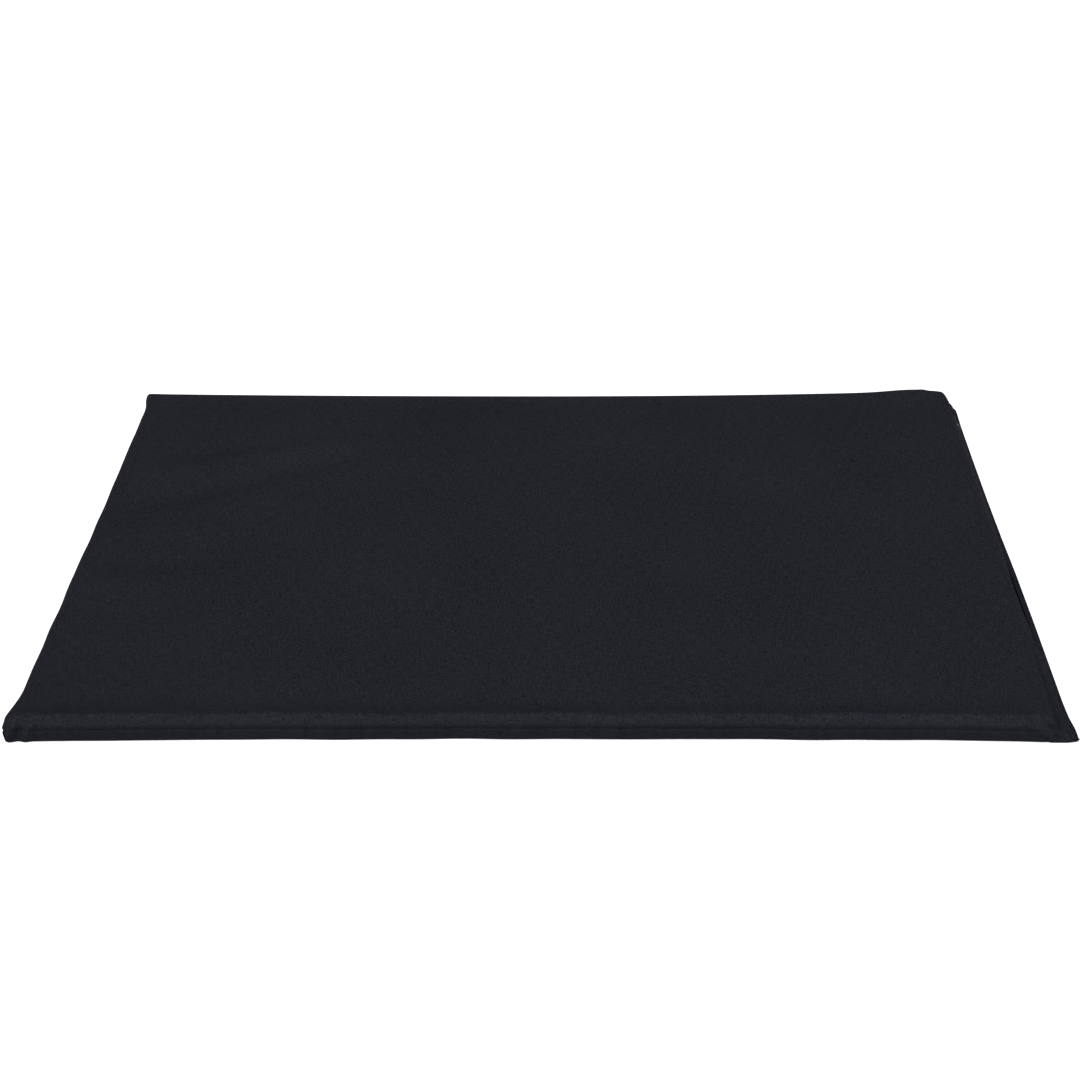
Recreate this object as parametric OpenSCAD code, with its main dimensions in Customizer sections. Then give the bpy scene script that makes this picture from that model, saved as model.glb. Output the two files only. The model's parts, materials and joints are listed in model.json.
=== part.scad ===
// Kneeling pad: a foam slab in a sewn fabric cover that closes with a lapped zip at its right-hand end.
// Millimetres. X runs left to right, Y front to back, Z up.
// The origin is on the underside, below the middle of the foam.

/* [Foam] */
// Length of the foam slab, left to right
foam_length = 440; // [360:5:600]
// Depth of the foam slab, front to back
foam_depth = 280; // [260:5:400]
// Thickness of the foam slab
foam_thickness = 12; // [12:1:20]
// Radius of the foam's upright corners
foam_corner = 6; // [3:1:12]

/* [Cover] */
// Thickness of the cover's fabric
fabric = 0.5; // [0.4:0.1:0.6]
// Reach of the zip end beyond the foam
zip_end = 11; // [11:0.5:14]
// Extra reach of the pointed front corner of the zip end
dog_ear = 3; // [1:0.5:5]
// How far inside the foam's end the lap over the zip folds up
lap_hinge_inset = 4; // [3:0.5:6]
// Reach of the lap beyond the foam
lap_reach = 8.5; // [8:0.1:9]
// Height of the lap's free edge above the ground
lap_edge_height = 6.1; // [6:0.1:6.5]
// Front stretch of the zip end that is sewn down
front_closed = 56; // [50:1:70]
// Back stretch of the zip end that is sewn down
back_closed = 13; // [12:1:16]
// Bay at the back end of the lap, where the slider parks
slider_bay = 20; // [20:1:24]

/* [Zip] */
// Distance from the foam's end to the middle of the chain
chain_offset = 4.5; // [4.5:0.1:4.8]
// Width of one row of the coil
coil_width = 1.45; // [1.2:0.05:1.5]
// Height of the coil above its tape
coil_height = 1.45; // [1.3:0.05:1.5]
// Gap between the two rows, in which the slider's post runs
coil_gap = 0.9; // [0.9:0.05:1.1]
// Thickness of the zip's tape
tape = 0.35; // [0.3:0.05:0.4]
// Stretch of the lower tape that runs on past the mouth's front end
tape_end = 12; // [8:1:20]
// Length of the slider
slider_length = 8.5; // [8:0.1:9]
// Width of the slider
slider_width = 6.5; // [6.3:0.1:6.6]
// Length of the pull tab from its pin
tab_length = 12; // [10:0.5:12]
// Width of the pull tab
tab_width = 3.6; // [3:0.1:4]

/* [Hidden] */

black_cloth = [0.13, 0.13, 0.16];
black_thread = [0.05, 0.05, 0.06];
black_nylon = [0.08, 0.08, 0.09];
black_metal = [0.2, 0.2, 0.21];
grey_foam = [0.35, 0.36, 0.38];

little = 0.05;
round_fn = 48;

// The cover around the foam
foam_end = foam_length / 2;
foam_side = foam_depth / 2;
cover_side = foam_side + fabric;
cover_top = foam_thickness + 2 * fabric;
foam_top = cover_top - fabric;
flange_end = foam_end + zip_end;
seam_height = cover_top / 2;
seam_thread = 0.4;

// The zip's own section: slider floor, tape, coil and slider roof, from the ground up
plate = 0.6;
slider_base = fabric + 0.1;
tape_base = slider_base + plate + 0.15;
coil_base = tape_base + tape;
roof_base = coil_base + coil_height + 0.2;
roof_top = roof_base + plate + little;
chain_x = foam_end + chain_offset;
upper_tape_x = foam_end + 0.3;

// The hem, which folds back over the lower tape
hem_thread = 0.25;
hem_base = tape_base + tape + hem_thread;
hem_top = hem_base + fabric;
hem_inner = chain_x + slider_width / 2 + 0.4;
hem_stitch_x = (hem_inner + flange_end) / 2;

// The lap over the zip, and how it folds up
hinge_x = foam_end - lap_hinge_inset;
hinge_z = cover_top - fabric / 2;
lap_front = -cover_side + front_closed;
lap_back = cover_side - back_closed - slider_bay;
lap_corner_x = foam_end + 0.7;
lap_end_x = foam_end + lap_reach;
end_gap = 0.3;
bay_edge_x = foam_end + 1.2;
bay_back = cover_side - back_closed;

// The slider at rest, its pin, and the stops that end its travel
slider_y = lap_back + 6.5;
pin_z = roof_top + 0.95;
pin_r = 0.4;
lug_r = 0.95;
lug_thickness = 0.5;
lug_gap = 2.2;
knuckle_r = 0.85;
running_clearance = 0.05;
stop_length = 2;
stop_inset = 11.5;
stop_y = lap_front + stop_inset;
coil_front = stop_y + stop_length / 2 + 0.3;
upper_tape_front = coil_front;
coil_back = slider_y + slider_length / 2 + 0.4;

// Plan outline of the cover's body: round corners on the left, square at the zip end
module cover_outline(grow) {
    r = foam_corner + grow;
    left = -foam_end - grow;
    side = foam_side + grow;
    translate([left + r, -side]) square([foam_end - left - r, 2 * side]);
    translate([left, -side + r]) square([2 * r, 2 * (side - r)]);
    for (y = [-side + r, side - r]) translate([left + r, y]) circle(r, $fn = round_fn);
}

// Upright wall around the front, the left and the back, between two heights
module wall(low, high) {
    translate([0, 0, low]) linear_extrude(high - low) difference() {
        cover_outline(fabric);
        cover_outline(0);
        translate([foam_end - little, -foam_side]) square([1, foam_depth]);
    }
}

// A section drawn in X and Z, drawn out along Y
module along_y(from, to) {
    translate([0, to, 0]) rotate([90, 0, 0]) linear_extrude(to - from) children();
}

// A box given by its two corners
module block(low, high) {
    translate(low) cube(high - low);
}

// Pointed corner at the front of the zip end
module dog_ear_outline() {
    polygon([[flange_end - little, -cover_side], [flange_end + dog_ear, -cover_side],
             [flange_end - little, -cover_side + 8 * dog_ear]]);
}

module foam_core() {
    color(grey_foam) translate([0, 0, fabric]) linear_extrude(foam_thickness) {
        square([foam_length - 2 * foam_corner, foam_depth], center = true);
        square([foam_length, foam_depth - 2 * foam_corner], center = true);
        for (x = [-1, 1], y = [-1, 1])
            translate([x * (foam_end - foam_corner), y * (foam_side - foam_corner)])
                circle(foam_corner, $fn = round_fn);
    }
}

// Section of the top panel where it is sewn down onto the hem
module closed_flange_section() {
    polygon([[hinge_x - 1, foam_top], [lap_corner_x, foam_top], [hem_inner - 0.3, hem_top],
             [flange_end, hem_top], [flange_end, hem_top + fabric],
             [hem_inner, hem_top + fabric], [lap_corner_x + 0.4, cover_top],
             [hinge_x - 1, cover_top]]);
}

// Wall that closes the section above the hem at the front and back ends
module flange_end_wall() {
    polygon([[foam_end, hem_top], [hem_inner - 0.3, hem_top], [lap_corner_x, foam_top],
             [foam_end, foam_top]]);
}

module top_panel() {
    color(black_cloth) {
        difference() {
            translate([0, 0, foam_top]) linear_extrude(fabric) cover_outline(fabric);
            block([hinge_x - fabric, lap_front, foam_top - 1],
                  [foam_end + 1, lap_back + end_gap, cover_top + 1]);
        }
        wall(seam_height + seam_thread / 2, foam_top + little);
        along_y(-cover_side, lap_front - end_gap) closed_flange_section();
        along_y(bay_back, cover_side) closed_flange_section();
        block([foam_end - 1, lap_back + end_gap, foam_top], [bay_edge_x, bay_back + 1, cover_top]);
        along_y(-cover_side, -foam_side) flange_end_wall();
        along_y(foam_side, cover_side) flange_end_wall();
        translate([0, 0, hem_top]) linear_extrude(fabric) dog_ear_outline();
    }
}

module bottom_panel() {
    color(black_cloth) {
        linear_extrude(fabric) cover_outline(fabric);
        wall(fabric - little, seam_height - seam_thread / 2);
        along_y(-cover_side, cover_side) polygon([
            [foam_end - 1, 0], [flange_end, 0], [flange_end, hem_top], [hem_inner, hem_top],
            [hem_inner, hem_base], [flange_end - fabric, hem_base],
            [flange_end - fabric, fabric], [foam_end - 1, fabric]]);
        for (y = [-cover_side, foam_side])
            block([foam_end - little, y, 0], [flange_end, y + fabric, hem_top]);
        linear_extrude(hem_top) dog_ear_outline();
    }
}

module zip_lap() {
    color(black_cloth) {
        along_y(lap_front, lap_back) polygon([
            [hinge_x, foam_top], [lap_corner_x, foam_top],
            [lap_end_x - fabric, lap_edge_height - fabric - 0.1], [lap_end_x, lap_edge_height],
            [lap_corner_x + 0.4, cover_top], [hinge_x, cover_top]]);
        translate([hinge_x, lap_back, hinge_z]) rotate([90, 0, 0])
            cylinder(h = lap_back - lap_front, r = fabric / 2, $fn = 32);
    }
}

module perimeter_seam_thread() {
    color(black_thread) wall(seam_height - seam_thread / 2, seam_height + seam_thread / 2);
}

// Stitches that hold the zip end shut at the two corners
module corner_stitching() {
    low = hem_top + fabric;
    pitch = 3;
    color(black_thread) for (run = [[-cover_side + 2, lap_front - 1.5], [bay_back + 3.5, cover_side - 2]])
        for (y = [run[0] : pitch : run[1] - 2])
            block([hem_stitch_x - 0.15, y, low], [hem_stitch_x + 0.15, y + 2, low + 0.2]);
}

module lap_stitching() {
    color(black_thread) block([upper_tape_x, upper_tape_front + 1, foam_top - 0.3],
                              [upper_tape_x + tape, lap_back - 1, foam_top]);
}

module lower_tape_stitching() {
    color(black_thread) block([hem_stitch_x - 0.15, lap_front - tape_end, coil_base],
                              [hem_stitch_x + 0.15, bay_back, hem_base]);
}

// One dense block of stitches across the hem
module bar_tack(y) {
    low = hem_top + fabric;
    color(black_thread) block([hem_inner + 0.1, y, low], [flange_end - 0.1, y + 1.6, low + 0.3]);
}

module front_bar_tack() {
    bar_tack(lap_front - end_gap - 1.1 - 1.6);
}

module back_bar_tack() {
    bar_tack(bay_back + 0.6);
}

module upper_zip_tape() {
    color(black_nylon) along_y(upper_tape_front, coil_back) polygon([
        [upper_tape_x, tape_base], [chain_x - coil_gap / 2, tape_base],
        [chain_x - coil_gap / 2, coil_base], [upper_tape_x + tape, coil_base],
        [upper_tape_x + tape, foam_top - 0.3], [upper_tape_x, foam_top - 0.3]]);
}

module lower_zip_tape() {
    color(black_nylon) block([chain_x + coil_gap / 2, lap_front - tape_end, tape_base],
                             [flange_end - fabric - 0.1, bay_back, coil_base]);
}

// One row of the coil: side is -1 for the row on the upper tape and 1 for the lower
module coil_row(side) {
    inner = chain_x + side * coil_gap / 2;
    outer = inner + side * coil_width;
    color(black_nylon) block([min(inner, outer), coil_front, coil_base],
                             [max(inner, outer), coil_back, coil_base + coil_height]);
}

module upper_zip_coil() {
    coil_row(-1);
}

module lower_zip_coil() {
    coil_row(1);
}

// Clip that ends one row of the coil beyond the parked slider
module top_stop(side) {
    middle = chain_x + side * (coil_gap + coil_width) / 2;
    half = coil_width / 2 + 0.15;
    color(black_metal) block([middle - half, coil_back, tape_base - 0.2],
                             [middle + half, coil_back + 1.4, coil_base + coil_height]);
}

module upper_top_stop() {
    top_stop(-1);
}

module lower_top_stop() {
    top_stop(1);
}

// Staple across both rows at the front end of the slider's travel
module zip_bottom_stop() {
    half = coil_gap / 2 + coil_width;
    color(black_metal) block([chain_x - half, stop_y - stop_length / 2, tape_base - 0.2],
                             [chain_x + half, stop_y + stop_length / 2, coil_base + coil_height]);
}

// A plate of the slider: it narrows towards its back end, where the closed chain leaves it
module slider_plate(low, high) {
    nose = slider_length / 2;
    half = slider_width / 2;
    translate([chain_x, slider_y, low]) linear_extrude(high - low) polygon([
        [-half + 0.6, -nose], [half - 0.6, -nose], [half, -nose + 2.5], [half, nose - 1],
        [half - 1, nose], [-half + 1, nose], [-half, nose - 1], [-half, -nose + 2.5]]);
}

module zip_slider() {
    half = slider_width / 2;
    rail = 0.5;
    color(black_metal) {
        slider_plate(slider_base, slider_base + plate);
        slider_plate(roof_base, roof_top);
        for (x = [-half, half - rail])
            translate([chain_x + x, slider_y - 1.7, coil_base + 0.15])
                cube([rail, slider_length / 2 + 0.9, roof_base - coil_base]);
        translate([chain_x - 0.35, slider_y + 0.5, slider_base])
            cube([0.7, slider_length / 2 - 1.5, roof_top - slider_base]);
        for (x = [-lug_gap / 2 - lug_thickness, lug_gap / 2])
            translate([chain_x + x, slider_y, 0]) {
                translate([0, -lug_r, roof_base]) cube([lug_thickness, 2 * lug_r, pin_z - roof_base]);
                translate([0, 0, pin_z]) rotate([0, 90, 0])
                    cylinder(h = lug_thickness, r = lug_r, $fn = 32);
            }
    }
}

module pull_tab_pin() {
    color(black_metal) translate([chain_x - lug_gap / 2, slider_y, pin_z]) rotate([0, 90, 0])
        cylinder(h = lug_gap, r = pin_r, $fn = 32);
}

module zip_pull_tab() {
    neck = lug_gap - 0.2;
    blade = 0.9;
    shoulder = 1.6;
    end_r = tab_width / 2;
    low = pin_z - knuckle_r;
    color(black_metal) translate([chain_x, slider_y, 0]) difference() {
        union() {
            translate([-neck / 2, 0, pin_z]) rotate([0, 90, 0])
                cylinder(h = neck, r = knuckle_r, $fn = 32);
            translate([-neck / 2, 0, low]) cube([neck, shoulder + 1, blade]);
            translate([-tab_width / 2, shoulder, low])
                cube([tab_width, tab_length - shoulder - end_r, blade]);
            translate([0, tab_length - end_r, low]) cylinder(h = blade, r = end_r, $fn = 32);
        }
        translate([-neck, 0, pin_z]) rotate([0, 90, 0])
            cylinder(h = 2 * neck, r = pin_r + running_clearance, $fn = 32);
        // Hole near the free end: a guess at a common pull, nothing passes through it
        translate([0, tab_length - end_r, low - 1]) cylinder(h = blade + 2, r = 0.9, $fn = 24);
    }
}

foam_core();
top_panel();
bottom_panel();
zip_lap();
perimeter_seam_thread();
corner_stitching();
lap_stitching();
lower_tape_stitching();
front_bar_tack();
back_bar_tack();
upper_zip_tape();
lower_zip_tape();
upper_zip_coil();
lower_zip_coil();
zip_bottom_stop();
upper_top_stop();
lower_top_stop();
zip_slider();
pull_tab_pin();
zip_pull_tab();
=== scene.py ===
import json
import math

import bpy
import numpy as np
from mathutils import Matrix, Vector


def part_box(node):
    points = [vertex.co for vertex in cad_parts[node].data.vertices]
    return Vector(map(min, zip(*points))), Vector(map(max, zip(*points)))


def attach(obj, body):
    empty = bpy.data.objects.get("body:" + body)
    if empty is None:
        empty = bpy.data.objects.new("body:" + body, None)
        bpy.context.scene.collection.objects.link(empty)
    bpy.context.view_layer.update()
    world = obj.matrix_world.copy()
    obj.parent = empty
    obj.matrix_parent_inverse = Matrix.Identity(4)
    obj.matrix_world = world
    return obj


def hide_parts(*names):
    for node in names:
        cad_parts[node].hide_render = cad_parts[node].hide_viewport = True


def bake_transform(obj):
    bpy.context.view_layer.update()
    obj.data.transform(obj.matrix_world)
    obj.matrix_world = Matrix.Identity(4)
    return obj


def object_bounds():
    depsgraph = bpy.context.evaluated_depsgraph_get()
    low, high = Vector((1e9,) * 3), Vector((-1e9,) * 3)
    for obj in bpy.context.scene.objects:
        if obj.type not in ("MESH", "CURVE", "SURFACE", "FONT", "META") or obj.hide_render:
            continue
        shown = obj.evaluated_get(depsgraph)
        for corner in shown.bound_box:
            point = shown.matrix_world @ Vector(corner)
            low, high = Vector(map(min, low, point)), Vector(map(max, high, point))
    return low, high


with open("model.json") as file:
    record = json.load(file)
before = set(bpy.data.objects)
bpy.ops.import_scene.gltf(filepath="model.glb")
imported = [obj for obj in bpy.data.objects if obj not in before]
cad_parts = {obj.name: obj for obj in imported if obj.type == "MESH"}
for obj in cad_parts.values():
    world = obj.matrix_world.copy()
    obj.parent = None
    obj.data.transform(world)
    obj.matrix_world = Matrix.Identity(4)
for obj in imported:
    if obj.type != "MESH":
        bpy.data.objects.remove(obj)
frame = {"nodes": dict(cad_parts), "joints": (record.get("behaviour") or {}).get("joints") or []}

cad_low, cad_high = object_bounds()

# Shapes are worked out in millimetres, in the row frame, and scaled when a mesh is made.
MM = 0.001


def box_mm(node):
    low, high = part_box(node)
    return np.array(low) / MM, np.array(high) / MM


# -------- places, from the frame
foam_low, foam_high = box_mm("foam_core")
lap_high = box_mm("zip_lap")[1]
upper_low, upper_high = box_mm("upper_zip_coil")
lower_low, lower_high = box_mm("lower_zip_coil")
tape_low, tape_high = box_mm("lower_zip_tape")
upper_tape_low, upper_tape_high = box_mm("upper_zip_tape")
front_tack_low, front_tack_high = box_mm("front_bar_tack")
back_tack_low, back_tack_high = box_mm("back_bar_tack")
stitch_low = box_mm("corner_stitching")[0]
seam_low, seam_high = box_mm("perimeter_seam_thread")

TOP = cad_high[2] / MM
WALL_X = -cad_low[0] / MM
WALL_Y = cad_high[1] / MM
SEAM_Z = (seam_low[2] + seam_high[2]) / 2
HINGE = np.array(next(j for j in frame["joints"] if j["name"] == "mouth_open")["pos_m"]) / MM
HINGE_X = HINGE[0]
HEM_TOP = stitch_low[2] - 0.5
EAR_X = cad_high[0] / MM
CHAIN_X = (upper_high[0] + lower_low[0]) / 2
MOUTH_FRONT = front_tack_high[1]
MOUTH_BACK = back_tack_low[1]
BAY_FRONT = lap_high[1]

CLOTH = 0.4  # thickness of the cover's cloth
ROLL = 3.2  # radius of the top's edge
UNDER_ROLL = 1.4  # radius of the underside's edge
BULGE = 1.0  # how far the front wall swells
FOLD_R = 0.5  # radius of the lap's folded edge
CORNER_R = 6.5  # the back right corner, in plan
DRAWN_IN = 4.0, 1.7, 5.3  # how far the left, front and back walls bow in
BAY_CLOTH = 6.7  # cloth from the hinge to the folded edge, over the parking bay
EAR_SEAM_Z = 1.9  # height of the seam where it meets the hem
RIDGE_AT = 3.0  # the roll behind the front edge: where it is,
RIDGE_RISE = 0.7  # how far it stands above the flat,
RIDGE_FALL = 2.1  # and how far it drops behind
FOAM_PRESSURE = 0.25  # of the cloth simulation
MOST_MOVE = 0.9  # most that the simulation may move a point
DETAIL = 2  # how much finer the cover is drawn
LAP_SPLIT = 10.0  # y where the lap's two halves meet
TAPE_SPLIT = 20.0  # y where the upper tape's two halves meet
TAPE_BEND = 1.6  # radius of the upper tape's turn
PITCH = 1.25  # of the coil
WIRE = 0.27  # radius of the coil's wire
STITCH_PITCH = 2.8
SEAM_PITCH = 3.0
STITCH_GAP = 0.5
CORNER_INSET = 3.9  # of the corner stitching from the hem's edge
TACK_INSET, TACK_LENGTH = 2.3, 2.6


# -------- small helpers
def smooth(t):
    t = np.clip(t, 0, 1)
    return t * t * (3 - 2 * t)


def bump(x, middle, width):
    return np.exp(-(((x - middle) / width) ** 2))


def through(x, *points):
    """A smooth curve through (x, value) points, level beyond the ends."""
    xs = np.array([p[0] for p in points], float)
    ys = np.array([p[1] for p in points], float)
    i = np.clip(np.searchsorted(xs, x, side="right") - 1, 0, len(xs) - 2)
    return ys[i] + (ys[i + 1] - ys[i]) * smooth((x - xs[i]) / (xs[i + 1] - xs[i]))


def waves(a, b, sizes, seed, count=6):
    """Smooth seeded noise of about unit size at points (a, b): waves, each near one of sizes long."""
    r = np.random.default_rng(seed)
    total = np.zeros(np.broadcast(a, b).shape)
    for size in sizes:
        for _ in range(count):
            angle = r.uniform(0, math.tau)
            k = math.tau / (size * r.uniform(0.8, 1.25))
            total = total + np.sin(k * (a * math.cos(angle) + b * math.sin(angle)) + r.uniform(0, math.tau))
    return total / math.sqrt(count * len(sizes) / 2)


def lines(*stops):
    """Grid lines from stops of (start, step). Each step holds up to the next start. The last is the end."""
    out = []
    for (start, step), (end, _) in zip(stops, stops[1:]):
        count = max(1, round((end - start) / step))
        out += list(start + (end - start) * np.arange(count) / count)
    return np.array(out + [stops[-1][0]])


def make(name, verts, faces, body=None, uvs=None, normals=None, material=None):
    """A mesh object. uvs and normals have one row for each corner of a face, or uvs one for each vertex."""
    verts = np.asarray(verts, float) * MM
    faces = [tuple(int(i) for i in f) for f in faces]
    mesh = bpy.data.meshes.new(name)
    mesh.from_pydata(verts.tolist(), [], faces)
    if uvs is not None:
        corner = np.concatenate([np.array(f) for f in faces])
        layer = mesh.uv_layers.new(name="cloth")
        layer.data.foreach_set("uv", (np.asarray(uvs)[corner] * MM).astype(np.float32).ravel())
    mesh.polygons.foreach_set("use_smooth", [True] * len(mesh.polygons))
    mesh.update()
    if normals is not None:
        mesh.normals_split_custom_set(normals.tolist())
    obj = bpy.data.objects.new(name, mesh)
    bpy.context.scene.collection.objects.link(obj)
    if material is not None:
        mesh.materials.append(material)
    if body is not None:
        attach(obj, body)
    return obj


def grid_normals(P, outward=1):
    n = np.cross(np.gradient(P, axis=0), np.gradient(P, axis=1)) * outward
    return n / np.maximum(np.linalg.norm(n, axis=2, keepdims=True), 1e-9)


def finer(A, times):
    """The grid A with times - 1 more lines between each two, on Catmull-Rom curves, along both ways."""
    for axis in (0, 1):
        A = np.moveaxis(A, axis, 0)
        n = len(A)
        pos = np.arange((n - 1) * times + 1) / times
        i = np.minimum(pos.astype(int), n - 2)
        t = (pos - i).reshape((-1,) + (1,) * (A.ndim - 1))
        before = A[np.maximum(i - 1, 0)] + (i == 0).reshape(t.shape) * (A[0] - A[1])
        after = A[np.minimum(i + 2, n - 1)] + (i == n - 2).reshape(t.shape) * (A[-1] - A[-2])
        a, b = A[i], A[i + 1]
        square = 2 * before - 5 * a + 4 * b - after
        cube = 3 * (a - b) + after - before
        A = a + 0.5 * t * (b - before + t * (square + t * cube))
        A = np.moveaxis(A, 0, axis)
    return A


def shell(name, P, N, uv, keep, material):
    """The faces of a cloth grid that are in keep, as a closed layer CLOTH thick under the outer face P."""
    n, m = P.shape[:2]
    i, j = np.meshgrid(np.arange(n - 1), np.arange(m - 1), indexing="ij")
    a = (i * m + j)[keep]
    quads = np.stack([a, a + m, a + m + 1, a + 1], -1)
    p, q = n // 2, m // 2
    if N[p, q] @ np.cross(P[p + 1, q] - P[p, q], P[p, q + 1] - P[p, q]) < 0:
        quads = quads[:, ::-1]
    used, flat = np.unique(quads, return_inverse=True)
    quads = flat.reshape(-1, 4)
    count = len(used)
    outer, normal, cloth_uv = P.reshape(-1, 3)[used], N.reshape(-1, 3)[used], uv.reshape(-1, 2)[used]
    start, end = quads.ravel(), np.roll(quads, -1, 1).ravel()
    forward = start.astype(np.int64) * count + end
    backward = end.astype(np.int64) * count + start
    rim = ~np.isin(forward, backward)
    s, e = start[rim], end[rim]
    rims = np.stack([e, s, s + count, e + count], -1)
    faces = np.concatenate([quads, quads[:, ::-1] + count, rims])
    verts = np.concatenate([outer, outer - normal * CLOTH])
    across = np.cross(verts[rims[:, 1]] - verts[rims[:, 0]], verts[rims[:, 3]] - verts[rims[:, 0]])
    across /= np.maximum(np.linalg.norm(across, axis=1, keepdims=True), 1e-9)
    inner = -normal[quads[:, ::-1].ravel()]
    normals = np.concatenate([normal[quads.ravel()], inner, np.repeat(across, 4, axis=0)])
    return make(name, verts, faces, None, np.concatenate([cloth_uv, cloth_uv]), normals, material)


def tube(path, radius, sides, across):
    """Vertices and faces of a round tube along path, with closed ends. across is never along the path."""
    path = np.asarray(path, float)
    T = np.gradient(path, axis=0)
    A = np.cross(T, across)
    A /= np.linalg.norm(A, axis=1, keepdims=True)
    B = np.cross(T, A)
    B /= np.linalg.norm(B, axis=1, keepdims=True)
    angle = np.arange(sides) * math.tau / sides
    r = np.broadcast_to(radius, len(path))[:, None, None]
    ring = path[:, None] + r * (np.cos(angle)[:, None] * A[:, None] + np.sin(angle)[:, None] * B[:, None])
    n = len(path)
    k = np.arange(sides)
    i = np.arange(n - 1)[:, None] * sides
    after = (k + 1) % sides
    sidefaces = np.stack([i + k, i + after, i + sides + after, i + sides + k], -1).reshape(-1, 4)
    faces = [tuple(f[::-1]) for f in sidefaces]
    faces += [tuple(range(sides)), tuple(range((n - 1) * sides, n * sides))[::-1]]
    return ring.reshape(-1, 3), faces


class Parts:
    """Several small shapes gathered into one mesh."""

    def __init__(self):
        self.verts, self.faces, self.count = [], [], 0

    def add(self, verts, faces):
        self.verts.append(np.asarray(verts, float))
        self.faces += [tuple(i + self.count for i in f) for f in faces]
        self.count += len(verts)

    def make(self, name, body, material):
        return make(name, np.concatenate(self.verts), self.faces, body, None, None, material)


# -------- how the cover leaves its seams
def edge(d, rise, radius):
    """(inset from the wall, height above the seam) at d along the cloth of a panel that rises by rise."""
    straight = np.maximum(rise - radius, 0.15 * rise)
    r = rise - straight
    angle = np.clip((d - straight) / r, 0, math.pi / 2)
    inset = r * (1 - np.cos(angle)) + np.maximum(d - straight - r * math.pi / 2, 0)
    return inset, np.minimum(d, straight) + r * np.sin(angle)


def rounded(a, b, radius):
    """Insets a and b from two walls that meet in a corner, moved so that the corner is round."""
    p = np.clip(1 - a / radius, 0, 1)
    q = np.clip(1 - b / radius, 0, 1)
    return a + radius * (p - p * np.sqrt(1 - q * q / 2)), b + radius * (q - q * np.sqrt(1 - p * p / 2))


RISE = TOP - SEAM_Z
WRAP = (RISE - ROLL) + ROLL * math.pi / 2
CUT_V = 2 * (WRAP - ROLL + WALL_Y)
CUT_U = WRAP - ROLL + WALL_X + HINGE_X
UNDER_WRAP = (SEAM_Z - UNDER_ROLL) + UNDER_ROLL * math.pi / 2


def hem_x(y):
    """Where the outer edge of the hem lies along the zip end. The cloth draws in towards the back."""
    ys = (-WALL_Y, -WALL_Y + 6, -WALL_Y + 12, -WALL_Y + 25, -60, -20, 10, 45, 85, 115, WALL_Y)
    xs = (EAR_X - 0.1, 233.4, 232.9, 232.4, 231.9, 231.3, 230.4, 229.7, 229.3, 229.1, 229.4)
    return np.interp(y, ys, xs)


def sewn(y):
    """1 where the top is sewn down to the hem, 0 where the lap is free."""
    front = 1 - smooth((y - MOUTH_FRONT) / 8.5)
    back = smooth((y - (MOUTH_BACK - 6)) / 6)
    return np.maximum(front, back)


def in_bay(y):
    """1 along the slider's parking bay."""
    return smooth((y - (BAY_FRONT - 6)) / 7.5) * (1 - smooth((y - (MOUTH_BACK - 5.5)) / 6))


def lifted(y):
    """1 in the middle of the lap's loose stretch, where it stands off the hem."""
    return bump(y, -47, 18)


PROFILE_STEP = 0.1
PROFILE = np.arange(0, 26, PROFILE_STEP)


def zip_end_profiles(y):
    """For each y, how far right and down the top goes past the hinge, and its slope, along PROFILE."""
    s = PROFILE[None, :]
    shut = sewn(y)[:, None]
    lap_slope = (54 - 5 * lifted(y) + 2 * smooth((y - 20) / 60))[:, None] * smooth((s - 3.9) / 3.4)
    shut_slope = 60 * smooth((s - 3.3) / 3.6) * (1 - smooth((s - 13.6) / 3.2))
    slope = np.radians(lap_slope * (1 - shut) + shut_slope * shut)
    right = np.cumsum(np.cos(slope), 1) * PROFILE_STEP - PROFILE_STEP * np.cos(slope)
    down = np.cumsum(np.sin(slope), 1) * PROFILE_STEP - PROFILE_STEP * np.sin(slope)
    return right, down, slope


def lap_length(y):
    """How much cloth there is from the hinge line to the folded edge."""
    free = through(y, (-84, 17.0), (-70, 15.6), (-56, 11.2), (-42, 9.2), (-20, 13.2), (4, 14.4), (90, 14.4))
    return free + (BAY_CLOTH - free) * in_bay(y)


def at(table, s):
    """Values of a table of profiles at distances s, which has one row for each profile."""
    k = np.clip(s / PROFILE_STEP, 0, table.shape[1] - 1.001)
    i = k.astype(int)
    rows = np.arange(len(table))[:, None]
    return table[rows, i] * (1 - (k - i)) + table[rows, i + 1] * (k - i)


def seam_height(x):
    """Height of the seam at x. It comes down to the hem at both corners of the zip end."""
    return SEAM_Z - (SEAM_Z - EAR_SEAM_Z) * smooth((x - HINGE_X - 1) / 13)


# -------- the top of the cover
PUCKERS = (
    # from x, y to x, y, width at its start, width at its end, height
    (-216, 52, -78, 88, 8, 7, 1.65),
    (-216, 21, -84, 72, 12, 6, -2.1),
    (-218, 78, -110, 104, 8, 11, 0.6),
    (-219, -6, -120, 12, 6, 11, 0.7),
    (-219, -27, -140, -22, 6, 9, -0.7),
    (-219, -45, -130, -36, 6, 10, 0.7),
    (-219, -66, -145, -60, 6, 9, -0.6),
    (-219, -86, -150, -82, 6, 9, 0.5),
)


def pucker_height(x, y):
    total = np.zeros(x.shape)
    for x0, y0, x1, y1, wide_start, wide_end, height in PUCKERS:
        length = math.hypot(x1 - x0, y1 - y0)
        along = ((x - x0) * (x1 - x0) + (y - y0) * (y1 - y0)) / length**2
        off = ((y - y0) * (x1 - x0) - (x - x0) * (y1 - y0)) / length
        along = np.clip(along, 0, 1)
        bend = 2 * np.sin(along * 5 + x0)
        shape = along**0.5 * (1 - along) * 2.2
        total += height * shape * bump(off, bend, wide_start + (wide_end - wide_start) * along)
    return total


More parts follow.
